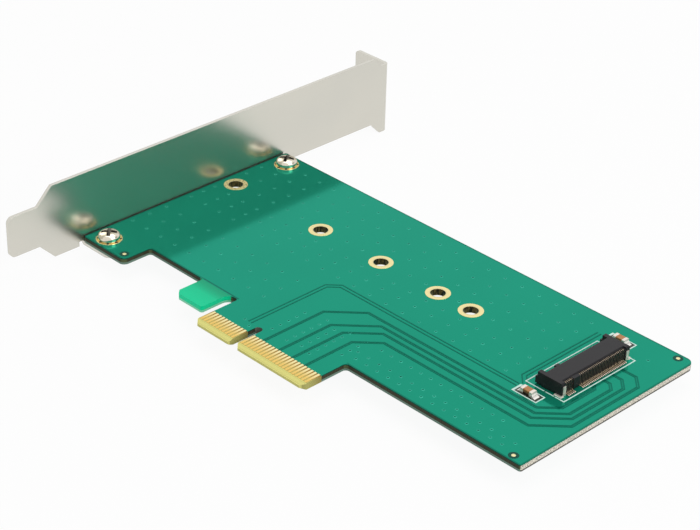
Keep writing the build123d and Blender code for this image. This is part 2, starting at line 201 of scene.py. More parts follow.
class Number:
    """A number socket, so that arithmetic on it adds Math nodes."""

    def __init__(self, nodes, socket):
        self.nodes = nodes
        self.socket = socket

    def math(self, operation, *values):
        made = self.nodes.node("ShaderNodeMath", {"operation": operation}, values)
        return Number(self.nodes, made.outputs[0])

    def __add__(self, other):
        return self.math("ADD", self, other)

    def __radd__(self, other):
        return self.math("ADD", other, self)

    def __sub__(self, other):
        return self.math("SUBTRACT", self, other)

    def __rsub__(self, other):
        return self.math("SUBTRACT", other, self)

    def __mul__(self, other):
        return self.math("MULTIPLY", self, other)

    def __rmul__(self, other):
        return self.math("MULTIPLY", other, self)

    def __gt__(self, other):
        return self.math("GREATER_THAN", self, other)

    def __lt__(self, other):
        return self.math("LESS_THAN", self, other)

    def __mod__(self, other):
        return self.math("FLOORED_MODULO", self, other)

    def __abs__(self):
        return self.math("ABSOLUTE", self)

    def root(self):
        return self.math("SQRT", self)

    def least(self, other):
        return self.math("MINIMUM", self, other)

    def most(self, other):
        return self.math("MAXIMUM", self, other)


class Nodes:
    """A node tree, and the ways in which this file adds nodes to it."""

    def __init__(self, tree):
        self.tree = tree

    def node(self, kind, settings=None, inputs=()):
        """Adds a node: its settings first, then values or links by socket name or place."""
        made = self.tree.nodes.new(kind)
        for key, value in (settings or {}).items():
            if key == "stops":
                self.set_stops(made.color_ramp, value)
            else:
                setattr(made, key, value)
        pairs = inputs.items() if isinstance(inputs, dict) else enumerate(inputs)
        for place, value in pairs:
            self.feed(made.inputs[place], value)
        return made

    def set_stops(self, ramp, stops):
        """Gives a ramp its stops, as (position, colour) pairs."""
        while len(ramp.elements) < len(stops):
            ramp.elements.new(1)
        for element, (position, tone) in zip(ramp.elements, stops):
            element.position = position
            element.color = (*tone, 1)

    def feed(self, socket, value):
        """Links a socket, or sets its value."""
        if isinstance(value, Number):
            value = value.socket
        if isinstance(value, bpy.types.NodeSocket):
            self.tree.links.new(value, socket)
        elif socket.type == "RGBA":
            socket.default_value = (*value, 1)
        else:
            socket.default_value = value

    def mix(self, amount, first, second):
        """A colour between two colours."""
        inputs = {0: amount, 6: first, 7: second}
        return self.node("ShaderNodeMix", {"data_type": "RGBA"}, inputs).outputs[2]

    def fade(self, value, low, high, first, second):
        """The first colour where a value is at low, the second at high, and smooth between."""
        return self.mix(self.smooth(value, low, high), first, second)

    def ramp(self, value, *stops):
        """A colour looked up along a ramp."""
        return self.node("ShaderNodeValToRGB", {"stops": stops}, [value]).outputs[0]

    def smooth(self, value, low, high):
        """0 at low, 1 at high, and smooth between them."""
        settings = {"interpolation_type": "SMOOTHSTEP"}
        made = self.node("ShaderNodeMapRange", settings, [value, low, high])
        return Number(self, made.outputs[0])

    def seen_white(self):
        """1 for the rays that should meet a white background."""
        rays = self.node("ShaderNodeLightPath").outputs
        camera, glossy, through = [
            Number(self, rays[f"Is {kind} Ray"]) for kind in ("Camera", "Glossy", "Transmission")]
        return camera.most(glossy).most(through)


class Shader(Nodes):
    """One material's nodes, round its Principled shader."""

    def __init__(self, name):
        self.material = bpy.data.materials.new(name)
        self.material.use_nodes = True
        super().__init__(self.material.node_tree)
        self.surface = self.tree.nodes["Principled BSDF"]

    def point(self):
        """The point of the surface, in metres of the part's frame."""
        return self.node("ShaderNodeTexCoord").outputs["Object"]

    def parts(self, vector):
        """A vector's three numbers."""
        made = self.node("ShaderNodeSeparateXYZ", {}, [vector])
        return [Number(self, socket) for socket in made.outputs]

    def place(self):
        """The point's x, y and z in millimetres."""
        return [axis * (1 / MM) for axis in self.parts(self.point())]

    def facing(self):
        """The face's own normal as three numbers."""
        return self.parts(self.node("ShaderNodeNewGeometry").outputs["True Normal"])

    def noise(self, scale, detail=2.0, roughness=0.5, stretch=(1, 1, 1)):
        """Noise between 0 and 1, with its scale in waves per millimetre."""
        spread = [scale / MM * share for share in stretch]
        moved = self.node("ShaderNodeMapping", {}, {"Vector": self.point(), "Scale": spread})
        made = self.node("ShaderNodeTexNoise", {}, {
            "Vector": moved.outputs[0], "Scale": 1.0, "Detail": detail, "Roughness": roughness})
        return Number(self, made.outputs["Fac"])

    def bump(self, height, depth, strength=1.0, rounding=0.0):
        """A normal from a height whose range is a depth in millimetres, with eased edges."""
        inputs = {"Strength": strength, "Distance": depth * MM, "Height": height}
        if rounding:
            eased = self.node("ShaderNodeBevel", {"samples": 6}, {"Radius": rounding * MM})
            inputs["Normal"] = eased.outputs[0]
        return self.node("ShaderNodeBump", {}, inputs).outputs[0]

    def finish(self, **inputs):
        """Feeds the Principled shader, with underscores for spaces, and gives the material."""
        for key, value in inputs.items():
            self.feed(self.surface.inputs[key.replace("_", " ")], value)
        return self.material


def shade(tone, share):
    """A colour made darker or lighter."""
    return [min(1.0, part * share) for part in tone]


# Materials

LACQUER = {"IOR": 1.25, "Specular_Tint": (0.3, 1.0, 0.95)}
UPRIGHT = 0.6                         # a face whose normal rises less is a wall
# Pale gold of the fiducial dots, also used as the painted highlight at the lands' rims and the
# contacts' ends
PALE_GOLD_AND_HIGHLIGHT = (0.93, 0.84, 0.45)
# Painted shade: brown round the dark ring at a module hole's lip
BROWN_LIP_SHADE = (0.72, 0.36, 0.07)
DARK_LIP_SHADE = (0.10, 0.045, 0.010)      # painted shade where a hole's wall turns over into its land
HOOK_EDGE_HIGHLIGHT = (0.6, 0.85, 0.7)          # painted highlight along the hook's lower edge
LIP = 1.90                            # radius of a module hole's rounded lip, painted as shade inside it
RESIN_IOR = 1.33
COOL = (0.91, 0.93, 0.96)             # shares of a colour where plating clouds over
# The two tones of each small dark surface; the bores and the bare grounds are painted shade
BORE_SHADE = ((0.03, 0.012, 0.004), (0.08, 0.035, 0.010))
GROUND_SHADE = ((0.010, 0.012, 0.007), (0.030, 0.026, 0.014))
FIDUCIAL_RING = ((0.002, 0.060, 0.040), (0.004, 0.095, 0.060))


def board_material(look, gold):
    """Lacquered faces, bare card edge, clear hook, and laminate at the routed walls."""
    shader = Shader("lacquered_board")
    x, y, z = shader.place()
    flat = abs(shader.facing()[2]) > UPRIGHT
    below_edge = 1 - shader.smooth(y, LONG_EDGE - 0.5, LONG_EDGE + 0.3)
    hook = (x > HOOK[0] - 1) * (x < HOOK[1] + 1) * below_edge
    bare = (x > HOOK[1] + 1) * (x < edge_row.high.x + 2) * (y < edge_row.high.y + 0.02)

    green = shader.mix(shader.noise(0.05, detail=1), shade(look.mask, 0.96), shade(look.mask, 1.06))
    green = shader.mix(rim(shader, x, y) * 0.75, green, look.bare_rim)
    # Painted light and shade: the hook's lacquer brighter at its free end and darker towards its
    # root
    hook_shaded_green = shader.ramp(
        shader.smooth(y, LONG_EDGE - 8, LONG_EDGE),
        (0.0, shade(look.clear, 1.1)), (0.55, look.clear), (1.0, shade(look.clear, 0.62)))
    face = shader.mix(hook, green, hook_shaded_green)
    root = shader.smooth(abs(y - LONG_EDGE - 0.3), 0.3, 0.05)
    root = root * (x > HOOK[0]) * (x < HOOK[1] + HOOK_SLOT)
    face = shader.mix(root * 0.6, face, shade(look.trace, 0.8))
    face = shader.mix(bare, face, tongue_colour(shader, look, y, z))

    wall = shader.mix(flat, wall_colour(shader, look, x, y, z, hook, bare), face)
    # Painted shade: the plated hole walls near black, with upright streaks
    plated = hole_walls(x, y) * (1 - flat)
    streaks = shader.noise(2.2, detail=3, stretch=(1, 1, 0.3))
    bore = shader.fade(streaks, 0.35, 0.65, shade(gold, 0.015), shade(gold, 0.14))
    lacquered = flat * (1 - bare)
    copper = lacquered * (1 - hook)
    rough = 0.6 - lacquered.most(hook) * (0.6 - look.gloss) - plated * 0.3
    return shader.finish(
        Base_Color=shader.mix(plated, wall, bore), Roughness=rough,
        Metallic=copper * look.mirror + plated * 0.5, Normal=lacquer_bump(shader), **LACQUER)


def rim(shader, x, y):
    """1 at the board's straight edges, where the copper stops short of them."""
    beside_leg = x > LEG_RIGHT
    card_edge = (x > HOOK[1] + HOOK_SLOT - 0.1) * (x < edge_row.high.x + 0.3)
    low = beside_leg * (LONG_EDGE - HOOK_END) + HOOK_END - card_edge * LONG_EDGE
    inside = (y - low).least(board.high.y - y).least(board.high.x - x).least(x - board.low.x)
    return shader.smooth(inside, *COPPER_INSET) * (y > low)


def tongue_colour(shader, look, y, z):
    """Bare laminate of the card edge: brown between the contacts, yellow at its bevelled tip."""
    top = edge_row.high.y
    weave = shader.noise(2.4, detail=3, stretch=(1, 0.35, 1))
    tongue = shader.fade(y, BEVEL + 0.8, top + 0.2, shade(look.tongue, 0.92), look.tongue_root)
    tongue = shader.mix(weave * 0.3, tongue, shade(look.tongue_root, 0.7))
    tongue = shader.fade(y, top - 0.35, top - 0.15, tongue, look.bare_rim)
    plies = abs(z % 0.28 - 0.14)
    # Painted light: the bevel's faces brighter than the tongue beside them
    bevel = shader.fade(plies, 0.03, 0.0, shade(look.tongue, 1.22), shade(look.tongue, 0.95))
    return shader.mix(y < BEVEL, tongue, bevel)


def wall_colour(shader, look, x, y, z, hook, bare):
    """The board's walls: routed all round, partly painted dark as shade, and painted pale at the far
    end as lit; bare at the card edge, with a key notch that darkens inwards as painted shade and a
    hook that is green right through."""
    lower = shader.smooth(z, BOTTOM + 0.60, BOTTOM + 0.48)
    tongue_side = shader.fade(
        y, 1.0, LONG_EDGE - 3, shade(look.tongue, 0.66), shade(look.tongue_root, 0.5))
    notch = (y < LONG_EDGE - 1.5) * (x > KEY[0]) * (x < KEY[1])
    # Painted light at the key notch's mouth, and painted shade darkening it inwards
    notch_side_shaded = shader.fade(
        y, 4.5, LONG_EDGE - 4.4, shade(look.lit_laminate, 1.1), shade(look.lit_laminate, 0.2))
    far_end = x > board.high.x - 0.15
    wall = shader.mix(
        far_end, routed_colour(shader, look, z, lower), lit_end_colour(shader, look, z))
    wall = shader.mix(bare, wall, tongue_side)
    wall = shader.mix(notch, wall, notch_side_shaded)
    wall = shader.mix(bare * (y < 0.4), wall, look.tongue)
    # Painted light on the hook's sides, with the painted highlight along their lower edge
    hook_side_lit = shader.mix(lower * 0.5, shade(look.clear, 1.3), HOOK_EDGE_HIGHLIGHT)
    return shader.mix(hook, wall, hook_side_lit)


def routed_colour(shader, look, z, lower):
    """Dark, partly painted shade, with upright tool marks: painted light in olive round the corners,
    green at the top, and a painted highlight along the lower edge.
    """
    marks = shader.noise(3.2, detail=3, roughness=0.7, stretch=(1, 1, 0.12))
    plies = shader.noise(0.5, detail=4, roughness=0.75, stretch=(1, 1, 14))
    routed = shader.mix(marks, shade(look.laminate, 0.25), shade(look.laminate, 1.6))
    routed = shader.mix(plies * 0.5, routed, shade(look.laminate, 1.3))
    turned, along, _ = shader.facing()
    # Painted light: olive where the wall turns round a corner
    corner = shader.smooth(abs(turned * along), 0.1, 0.4) * 0.75
    routed = shader.mix(corner, routed, look.corner)
    routed = shader.fade(z, TOP - 0.35, TOP - 0.12, routed, shade(look.bare_rim, 0.4))
    # Painted highlight along the wall's lower edge
    return shader.mix(lower, routed, look.lower_edge_highlight)


def lit_end_colour(shader, look, z):
    """Pale fibres, painted as the lit copy of the routed walls' laminate, with a green upper and a
    dark lower edge.
    """
    fibres = shader.noise(4.0, detail=3, stretch=(1, 1, 1.4))
    lit_laminate = shader.fade(fibres, 0.38, 0.62, shade(look.lit_laminate, 0.42), shade(look.lit_laminate, 1.4))
    lit_laminate = shader.fade(z, BOTTOM + 0.42, BOTTOM + 0.3, lit_laminate, shade(look.lit_laminate, 0.16))
    return shader.fade(z, TOP - 0.2, TOP - 0.1, lit_laminate, look.bare_rim)


def distance(x, y, spans):
    """Millimetres to the nearest of some pieces' middles."""
    reaches = []
    for span in spans:
        across, along = x - span.middle.x, y - span.middle.y
        reaches.append((across * across + along * along).root())
    nearest = reaches[0]
    for reach in reaches[1:]:
        nearest = nearest.least(reach)
    return nearest


def hole_walls(x, y):
    """1 at the walls of the plated holes."""
    module_wall = distance(x, y, module_holes) < MODULE_HOLE_RADIUS + WALL_ROOM
    return module_wall + (distance(x, y, screw_lands) < SCREW_HOLE_RADIUS + WALL_ROOM)


def lacquer_bump(shader):
    """The slight orange peel of the lacquer."""
    return shader.bump(shader.noise(1.6, detail=2), 0.004, 0.4)


def mottled_material(name, tones, scale, detail=2.0, **inputs):
    """A surface in two tones, for small pieces and the flag."""
    shader = Shader(name)
    tone = shader.mix(shader.noise(scale, detail=detail), *tones)
    return shader.finish(Base_Color=tone, **inputs)


def trace_material(look):
    """Printed conductors under the lacquer."""
    shader = Shader("lacquered_copper")
    tone = shader.mix(shader.noise(0.6), look.trace, shade(look.trace, 1.25))
    return shader.finish(
        Base_Color=tone, Roughness=look.gloss, Metallic=look.mirror,
        Normal=lacquer_bump(shader), **LACQUER)


def via_material(look, name, tone):
    """Lacquer over a via, at its rim, its slope or its sunken middle."""
    return mottled_material(
        name, (shade(tone, 0.75), shade(tone, 1.25)), 0.2, detail=1,
        Roughness=look.gloss + 0.1, Metallic=look.mirror, **LACQUER)


def land_material(look, tone):
    """Immersion gold, lacquered past its rim: painted shade as a brown band and a dark ring at a
    module hole's lip, and a painted highlight palest at a land's rim.
    """
    shader = Shader("immersion_gold")
    rough, metallic = 0.28, 0.65
    x, y, _ = shader.place()
    outer = module_holes[0].size.y / 2
    hole, screw = [distance(x, y, spans) for spans in (module_holes, screw_lands)]
    grain = shader.noise(3.0, detail=3)
    gold = shader.mix(grain, tone, shade(tone, 0.92))
    # Painted shade: a brown band, then a dark ring, at each module hole's lip
    gold = shader.mix(shader.smooth(hole, LIP + 0.5, LIP + 0.1) * 0.5, gold, BROWN_LIP_SHADE)
    gold = shader.fade(hole, LIP + 0.1, LIP - 0.08, gold, DARK_LIP_SHADE)
    # Painted highlight: palest at the rims of the module hole and screw lands
    pale = shader.smooth(hole, outer - 0.45, outer - 0.2) * (hole < outer + 0.5)
    pale = pale + shader.smooth(screw, SCREW_LAND_BARE - 0.3, SCREW_LAND_BARE - 0.1)
    gold = shader.mix(pale.least(1) * 0.7, gold, PALE_GOLD_AND_HIGHLIGHT)
    covered = (screw > SCREW_LAND_BARE) * (screw < SCREW_LAND_BARE + 1)
    return shader.finish(
        Base_Color=shader.mix(covered, gold, look.mask),
        Roughness=rough + (grain - 0.5) * 0.1 - covered * (rough - look.gloss),
        Metallic=metallic - covered * (metallic - look.mirror),
        Normal=shader.bump(grain, 0.004, 0.5, rounding=0.02))


def contact_material(tone):
    """Hard gold, with a painted highlight palest where a contact meets the lacquer, and painted
    shade darkening it brown towards its sides.
    """
    shader = Shader("hard_gold")
    x, y, _ = shader.place()
    scuffs = shader.noise(5.0, detail=3, roughness=0.6, stretch=(4, 0.4, 1))
    # Painted highlight: palest towards the lacquer's edge
    gold = shader.fade(y, edge_row.low.y + 0.8, edge_row.high.y - 0.3, tone, PALE_GOLD_AND_HIGHLIGHT)
    # Painted shade: darker towards each contact's sides, most near the lacquer
    side = shader.smooth(abs(x % 1.0 - 0.5), 0.2, 0.34)
    root = shader.smooth(y, BEVEL + 0.3, edge_row.high.y - 1.5)
    gold = shader.mix(side * (root * 0.5 + 0.3), gold, shade(tone, 0.62))
    gold = shader.mix(shader.smooth(scuffs, 0.45, 0.75) * 0.5, gold, shade(tone, 0.85))
    return shader.finish(
        Base_Color=gold, Roughness=0.28 + (scuffs - 0.5) * 0.14, Metallic=0.85,
        Normal=shader.bump(scuffs, 0.004, 0.5))


def ink_material(look):
    """Matt pale printing, slightly uneven at its edges."""
    shader = Shader("printing_ink")
    grain = shader.noise(6.0, detail=3)
    tone = shader.mix(grain, look.ink, shade(look.ink, 0.88))
    return shader.finish(Base_Color=tone, Roughness=0.55, Normal=shader.bump(grain, 0.01, 0.6))


def metal_material(name, tone, roughness, fine=8.0, stretch=(1, 1, 1), scuff=0.12, grain=0.004,
                   rounding=0.0, metallic=1.0):
    """Plated metal with fine grain, faint stains and a roughness that varies with them."""
    shader = Shader(name)
    stain = shader.noise(0.12, detail=3)
    lines = shader.noise(fine, detail=3, roughness=0.6, stretch=stretch)
    rough = roughness + (lines - 0.5) * scuff + (stain - 0.5) * (scuff / 2)
    return shader.finish(
        Base_Color=shader.mix(stain, tone, shade(tone, 1 - scuff)), Roughness=rough.most(0.05),
        Metallic=metallic, Normal=shader.bump(lines, grain, 0.5, rounding))


def sheet_material(look):
    """Rolled and plated sheet: cloudy between warm and cool, with faint rolling lines."""
    shader = Shader("bracket_nickel")
    clouds = shader.noise(0.05, detail=2)
    lines = shader.noise(1.2, detail=2, roughness=0.5, stretch=(1, 0.06, 1))
    cool = [part * share for part, share in zip(look.bracket, COOL)]
    tone = shader.mix(clouds, shade(look.bracket, 1.05), cool)
    tone = shader.mix(lines * 0.3, tone, shade(look.bracket, 0.9))
    return shader.finish(
        Base_Color=tone, Roughness=look.bracket_roughness + (clouds - 0.5) * 0.05,
        Metallic=0.94, Normal=shader.bump(lines, 0.001, 0.3, rounding=0.1))


def spring_material(look):
    """A socket contact: gold where it springs and bends, with painted shade darkening its leg, and
    plain again at its foot.
    """
    shader = Shader("spring_contact")
    height = shader.place()[2]
    grain = shader.noise(6.0, detail=3)
    # Painted shade: the leg darkened between the foot and the beam
    leg = shader.smooth(height, TOP + 0.35, TOP + 0.55)
    leg = leg * (1 - shader.smooth(height, rear_row.high.z - 0.5, rear_row.high.z - 0.3))
    tone = shader.mix(grain, look.spring, shade(look.spring, 0.85))
    tone = shader.mix(leg * 0.8, tone, shade(look.spring, 0.25))
    return shader.finish(
        Base_Color=tone, Roughness=0.34 + (grain - 0.5) * 0.1, Metallic=0.6,
        Normal=shader.bump(grain, 0.004, 0.5))


def resin_material(look):
    """Moulded black resin with its fine spark-eroded grain."""
    shader = Shader("moulded_resin")
    grain = shader.noise(7.0, detail=4, roughness=0.65)
    tone = shader.mix(grain, shade(look.resin, 0.6), shade(look.resin, 1.6))
    return shader.finish(
        Base_Color=tone, Roughness=0.36 + (grain - 0.5) * 0.2, IOR=RESIN_IOR,
        Normal=shader.bump(grain, 0.010, 0.5, rounding=0.07))


def ceramic_material(look):
    """Fired ceramic, with painted shade darkening it towards its foot."""
    shader = Shader("fired_ceramic")
    mottle = shader.noise(3.0, detail=4)
    tone = shader.mix(mottle, shade(look.ceramic, 0.7), shade(look.ceramic, 1.3))
    height = shader.place()[2]
    # Painted shade: darker towards the foot
    tone = shader.fade(height, TOP + 0.3, TOP + 1.2, shade(look.ceramic, 0.04), tone)
    return shader.finish(
        Base_Color=tone, Roughness=0.34, Normal=shader.bump(mottle, 0.01, 0.4, rounding=0.06))


def floor_material(look):
    """Pale paper that keeps the card's shadow, and is near white to the camera."""
    shader = Shader("floor_paper")
    grain = shader.noise(0.02, detail=2)
    shader.finish(
        Base_Color=shader.mix(grain, look.floor, shade(look.floor, 0.99)), Roughness=0.9,
        Specular_IOR_Level=0.1)
    white = shader.node("ShaderNodeEmission", {}, {"Color": (1, 1, 1), "Strength": 1.0})
    blend = shader.node("ShaderNodeMixShader", {}, [
        shader.seen_white() * look.floor_glow, shader.surface.outputs[0], white.outputs[0]])
    shader.feed(shader.tree.nodes["Material Output"].inputs["Surface"], blend.outputs[0])
    return shader.material


def dress(node, material):
    """Gives a CAD node its finish."""
    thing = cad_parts[node]
    for slot in thing.material_slots:
        slot.material = material
    if not thing.material_slots:
        thing.data.materials.append(material)


# Meshes


class Shape:
    """Points in millimetres and faces, gathered for one piece."""

    def __init__(self):
        self.points = []
        self.faces = []

    def add(self, points, faces):
        first = len(self.points)
        self.points += [tuple(point) for point in points]
        self.faces += [[first + i for i in face] for face in faces]

    def solid(self, first, second):
        """Two matching rings of points, joined and closed."""
        count = len(first)
        faces = [list(range(count))[::-1], list(range(count, 2 * count))]
        faces += [[i, (i + 1) % count, count + (i + 1) % count, count + i] for i in range(count)]
        self.add(first + second, faces)

    def bar(self, x0, x1, y0, y1, low, high):
        """A flat bar between its plan corners."""
        corners = ((x0, y0), (x1, y0), (x1, y1), (x0, y1))
        self.solid(*[[(x, y, z) for x, y in corners] for z in (low, high)])

    def side_prism(self, outline, middle, width):
        """An outline in x and z, made solid across y."""
        sides = (middle + width / 2, middle - width / 2)
        self.solid(*[[(x, y, z) for x, z in outline] for y in sides])

    def skin(self, rings, closed=False):
        """Rings of points, each joined to the next, with flat ends where it is closed."""
        sides, last = len(rings[0]), len(rings[0]) * (len(rings) - 1)
        faces = []
        for start in range(0, last, sides):
            for i in range(sides):
                a, b = start + i, start + (i + 1) % sides
                faces.append([a, b, b + sides, a + sides])
        if closed:
            faces += [list(range(sides))[::-1], list(range(last, last + sides))]
        self.add([point for ring in rings for point in ring], faces)

    def lathe(self, profile, centre, sides=24):
        """A profile of (radius, z) points turned round an upright axis."""
        self.skin([around(centre, [radius] * sides, z) for radius, z in profile])

    def piece(self, name, material, slot, smooth=0.0, replaces=()):
        """Makes the Blender object, which rides with the card."""
        mesh = bpy.data.meshes.new(name)
        mesh.from_pydata([[c * MM for c in point] for point in self.points], [], self.faces)
        tidy = bmesh.new()
        tidy.from_mesh(mesh)
        bmesh.ops.remove_doubles(tidy, verts=tidy.verts, dist=1e-7)
        bmesh.ops.recalc_face_normals(tidy, faces=tidy.faces)
        tidy.to_mesh(mesh)
        tidy.free()
        mesh.materials.append(material)
        thing = bpy.data.objects.new(name, mesh)
        bpy.context.scene.collection.objects.link(thing)
        if smooth:
            mesh.shade_smooth()
            mesh.set_sharp_from_angle(angle=radians(smooth))
        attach(thing, ROOT)
        if replaces:
            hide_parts(*replaces)
        return thing


def around(centre, radii, z):
    """Points round an upright axis, one for each radius."""
    turns = [2 * pi * i / len(radii) for i in range(len(radii))]
    return [(centre[0] + radius * cos(turn), centre[1] + radius * sin(turn), z)
            for radius, turn in zip(radii, turns)]


def cross_section(points, width, rounding, steps=4):
    """The outline of a strip of one width along an open run, with its bends rounded."""
    line = [Vector(points[0])]
    for before, corner, after in zip(points, points[1:], points[2:]):
        before, corner, after = Vector(before), Vector(corner), Vector(after)
        reach = min(rounding, (before - corner).length / 2, (after - corner).length / 2)
        start = corner + (before - corner).normalized() * reach
        end = corner + (after - corner).normalized() * reach
        for i in range(steps + 1):
            t = i / steps
            line.append(start * (1 - t) ** 2 + corner * 2 * t * (1 - t) + end * t**2)
    line.append(Vector(points[-1]))
    left, right = [], []
    for i, point in enumerate(line):
        ahead = (line[min(i + 1, len(line) - 1)] - line[max(i - 1, 0)]).normalized()
        aside = Vector((-ahead.y, ahead.x)) * (width / 2)
        left.append(point + aside)
        right.append(point - aside)
    return [tuple(p) for p in left + right[::-1]]


# Operators


class CardPiece:
    """What every operator of this file shares."""

    bl_options = {"REGISTER", "UNDO"}

    def execute(self, context):
        self.build(context.scene)
        return {"FINISHED"}


class CARD_OT_board(CardPiece, bpy.types.Operator):
    """Finish the board, its conductors, its lands and its edge contacts"""

    bl_idname = "adapter_card.board"
    bl_label = "Board"

    def build(self, scene):
        look, metal = scene.card_board, scene.card_metal
        dress("board", board_material(look, metal.gold))
        traces = trace_material(look)
        gold = land_material(look, metal.gold)
        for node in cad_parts:
            if node.endswith("_conductors"):
                dress(node, traces)
            elif node.startswith(("module_hole", "screw_land")):
                dress(node, gold)
        contact = contact_material(metal.contact)
        dress("edge_contacts_component_side", contact)
        dress("edge_contacts_solder_side", contact)


class CARD_OT_printing(CardPiece, bpy.types.Operator):
    """Print the pale frames round the socket and the capacitors"""

    bl_idname = "adapter_card.printing"
    bl_label = "Printing"
    ink_height = 0.06                        # over the conductors that it crosses
    ground_height = 0.055                    # of the bare laminate inside the small frames, painted near black as shade
    relief, relief_height = (0.95, 0.32), 0.02   # bare strips under the contacts' feet, painted near black as shade
    relief_room = 0.15                       # past the first and last contact
    key_span = (14.1, 16.6)                  # from a row's far end, where no contacts stand
    socket_margins = (1.7, 1.5, 0.9, 0.25)   # towards the bracket, the far end, -y and +y
    breaks = ((57.25, 0.35), (59.85, 0.3))   # x and length of the gaps in the -y line
    chip_frame = (3.25, 1.38)                # half length and half width
    thick_end = 2.0                          # the frame's end nearest the bracket, in line widths

    def build(self, scene):
        shape = Shape()
        width = scene.card_board.ink_width / MM
        left, right, near_side, far_side = self.socket_margins
        x0, x1 = housing.low.x - left, housing.high.x + right
        y0, y1 = housing.low.y - near_side, housing.high.y + far_side
        self.print_frame(shape, x0, x1, y0, y1, width, width, self.breaks)
        # Bare laminate inside the chip frames and under the feet, painted near black as the shade
        # under the parts
        ground = Shape()
        for chip in capacitors:
            reach, half = self.chip_frame
            corners = (chip.middle.x - reach, chip.middle.x + reach,
                       chip.middle.y - half, chip.middle.y + half)
            self.print_frame(shape, *corners, width, width * self.thick_end)
            ground.bar(*corners, TOP, TOP + self.ground_height)
        for row, toe, way in ((rear_row, rear_row.high.x, 1), (front_row, front_row.low.x, -1)):
            ends = sorted((toe - way * self.relief[0], toe + way * self.relief[1]))
            for low, high in self.relief_spans(row):
                ground.bar(*ends, low, high, TOP, TOP + self.relief_height)
        shape.piece("printed_frames", ink_material(scene.card_board), "solder_mask")
        laminate = mottled_material("bare_ground_shade", GROUND_SHADE, 3.0, Roughness=0.5)
        ground.piece("bare_grounds", laminate, "solder_mask")

    def relief_spans(self, row):
        """The y spans of the bare strips, on either side of the key."""
        first, last = [row.high.y - reach for reach in self.key_span]
        return (first, row.high.y + self.relief_room), (row.low.y - self.relief_room, last)

    def print_frame(self, shape, x0, x1, y0, y1, width, end_width, breaks=()):
        """Four lines round a rectangle, centred on it; the -y line may have breaks."""
        half = width / 2
        low, high = TOP, TOP + self.ink_height
        start = x0 - half
        for x, gap in breaks:
            shape.bar(start, x - gap / 2, y0 - half, y0 + half, low, high)
            start = x + gap / 2
        shape.bar(start, x1 + half, y0 - half, y0 + half, low, high)
        shape.bar(x0 - half, x1 + half, y1 - half, y1 + half, low, high)
        shape.bar(x1 - half, x1 + half, y0 + half, y1 - half, low, high)
        shape.bar(x0 - half, x0 - half + end_width, y0 + half, y1 - half, low, high)


class CARD_OT_vias(CardPiece, bpy.types.Operator):
    """Set the covered ground vias in their grid, and the closer ones beside the lanes"""

    bl_idname = "adapter_card.vias"
    bl_label = "Vias"
    first_x = -55.26              # of the grid's first column
    columns = 21
    rows = (17.8, 22.9, 28.0, 35.7, 39.6, 43.2, 48.4, 53.4, 58.4, 63.6)
    low_rows = 3                  # rows that stop where the lanes begin
    low_columns = 10
    # Closer ones, a row or column each: first x and y, step in x and y, and count
    stitches = (
        (23.7, 21.6, 2.9, 0, 13), (20.7, 17.5, 3.2, 0, 15), (22.3, 15.3, 3.2, 0, 14),
        (1.7, 10.2, 0, 2.4, 5), (7.2, 9.4, 0, 2.4, 6), (11.0, 10.2, 0, 2.4, 5),
        (14.2, 9.4, 0, 2.4, 6), (19.2, 14.2, 0, 2.4, 4), (61.2, 52.8, 1.5, 4.1, 3),
        (-5.1, 8.4, 2.6, -1.2, 2),
    )
    height = 0.045                # of a via's rim over the lacquer
    crest, slope, middle = 0.85, 0.70, 0.42   # shares of the radius
    shoulder, sunken = 0.8, 0.2   # shares of the height: the slope's top and its foot
    sides = 12
    hole_room = 1.2               # kept clear round a land
    part_room = (4, 2.5, 2)       # beside a part: towards the bracket, the far end, and in y

    def build(self, scene):
        look = scene.card_board
        radius = look.via_radius / MM
        rims, slopes, middles = Shape(), Shape(), Shape()
        for x, y in self.places(look.via_pitch / MM):
            for face, way in ((TOP, 1), (BOTTOM, -1)):
                rise = way * self.height
                low = face + rise * self.sunken
                foot, crest = (radius, face), (radius * self.crest, face + rise)
                edge = (radius * self.slope, face + rise * self.shoulder)
                bottom = (radius * self.middle, low)
                rims.lathe([foot, crest, edge], (x, y), self.sides)
                slopes.lathe([edge, bottom], (x, y), self.sides)
                middles.lathe([bottom, (ALMOST_NONE, low)], (x, y), self.sides)
        # Painted highlight on the raised rims, and painted shade in the sunken middles
        for part, shape, tone, smooth in (
                ("rim", rims, look.via_rim_highlight, 60), ("slope", slopes, look.mask, 60),
                ("middle", middles, shade(look.bare_rim, 0.5), 0)):
            lacquer = via_material(look, f"covered_via_{part}", tone)
            shape.piece(f"via_{part}s", lacquer, "solder_mask", smooth=smooth)

    def places(self, pitch):
        """The grid's and the closer rows' points that stay clear of holes and parts."""
        spots = []
        for number, y in enumerate(self.rows):
            count = self.low_columns if number < self.low_rows else self.columns
            spots += [(self.first_x + i * pitch, y) for i in range(count)]
        for x, y, step_x, step_y, count in self.stitches:
            spots += [(x + i * step_x, y + i * step_y) for i in range(count)]
        return [spot for spot in spots if self.clear(*spot)]

    def clear(self, x, y):
        """True where no hole, land or part is near."""
        for land in screw_lands + module_holes:
            reach = land.size.x / 2 + self.hole_room
            if hypot(x - land.middle.x, y - land.middle.y) < reach:
                return False
        left, right, aside = self.part_room
        for part in [housing] + capacitors:
            beside = part.low.y - aside < y < part.high.y + aside
            if beside and part.low.x - left < x < part.high.x + right:
                return False
        return True


